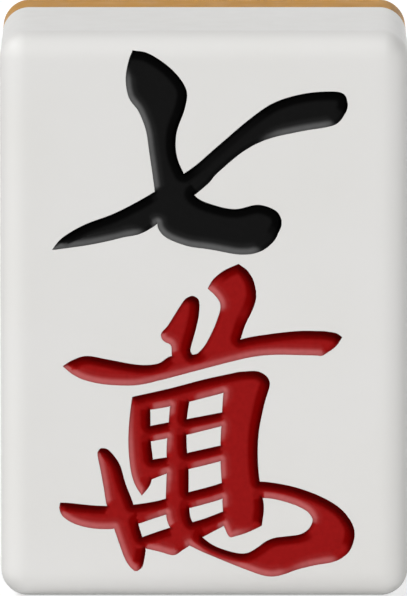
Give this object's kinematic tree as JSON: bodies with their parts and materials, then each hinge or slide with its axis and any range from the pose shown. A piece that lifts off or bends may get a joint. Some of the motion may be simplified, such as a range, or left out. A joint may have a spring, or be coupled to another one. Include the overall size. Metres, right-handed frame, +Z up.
{
  "type": "mahjong tile",
  "caption": "Mahjong tile that stands on its short end: a white plastic face block bonded to an amber back, with brush numerals cut into the face and lined with black and red paint.",
  "frame": {"origin": "middle of the base, halfway through the tile's thickness, on the surface that it stands on", "axes": "+Z up the tile, -Y out of the face, +X to the right as the face is read"},
  "size_m": [0.03, 0.022, 0.042],
  "materials": {
    "white_plastic": "satin",
    "amber_plastic": "satin",
    "black_paint": "enamel, wiped level with the face",
    "red_paint": "enamel, wiped level with the face"
  },
  "bodies": {
    "root": {"face_block": "white_plastic", "back_block": "amber_plastic", "seven_paint": "black_paint", "ten_thousand_crown_paint": "red_paint", "ten_thousand_body_paint": "red_paint"}
  },
  "joints": []
}
